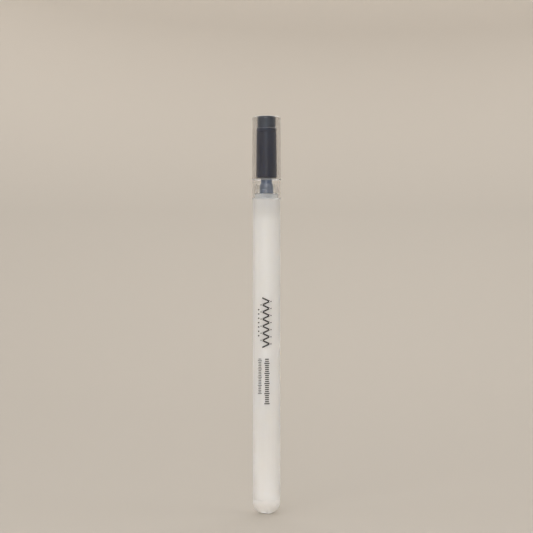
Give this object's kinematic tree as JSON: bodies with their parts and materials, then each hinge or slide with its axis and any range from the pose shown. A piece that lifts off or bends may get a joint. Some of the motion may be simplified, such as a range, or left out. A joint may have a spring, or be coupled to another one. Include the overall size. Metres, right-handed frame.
{
  "type": "fabric marking pen",
  "caption": "Slim capped ball marking pen: milky translucent barrel with domed rear plug, clear cap over a dark inner cap, and an ink tube feeding a metal ball point.",
  "frame": {"origin": "lowest point of the rear dome, on the pen axis", "axes": "+Z along the pen axis from the rear plug towards the capped tip; +X to the right as the pen is seen from the side that carries the print, which faces -Y"},
  "size_m": [0.0104, 0.0104, 0.1435],
  "materials": {
    "milky_plastic": "satin milky translucent",
    "clear_plastic": "glossy clear",
    "clear_neck_plastic": "glossy clear",
    "dark_plastic": "satin moulded",
    "tinted_plastic": "satin translucent",
    "tube_plastic": "natural translucent",
    "white_ink": "opaque white liquid",
    "grease": "clear yellowish gel",
    "stainless": "turned",
    "carbide": "lapped",
    "spring_steel": "drawn wire",
    "seal_rubber": "matte"
  },
  "bodies": {
    "pen": {"barrel": "milky_plastic", "rear_plug": "milky_plastic", "front_bush": "clear_neck_plastic", "ink_tube": "tube_plastic", "ink": "white_ink", "tip_holder": "tinted_plastic", "point": "stainless"},
    "cap": {"cap_shell": "clear_plastic", "inner_cap": "dark_plastic", "tip_seal": "seal_rubber"},
    "follower": {"ink_follower": "grease"},
    "spring": {"tip_spring": "spring_steel"},
    "ball": {"writing_ball": "carbide"}
  },
  "joints": [
    {"name": "cap_pull", "type": "slide", "parent": "pen", "child": "cap", "axis": [0, 0, 1], "range_m": [0, 0.035]},
    {"name": "ink_feed", "type": "slide", "parent": "pen", "child": "follower", "axis": [0, 0, 1], "range_m": [0, 0.068], "deforming": ["ink"]},
    {"name": "ball_press", "type": "slide", "parent": "pen", "child": "spring", "axis": [0, 0, -1], "range_m": [0, 0.00003], "deforming": ["tip_spring"]},
    {"name": "ball_roll", "type": "hinge", "parent": "spring", "child": "ball", "pos_m": [0, 0, 0.13445], "axis": [1, 0, 0], "continuous": true}
  ]
}
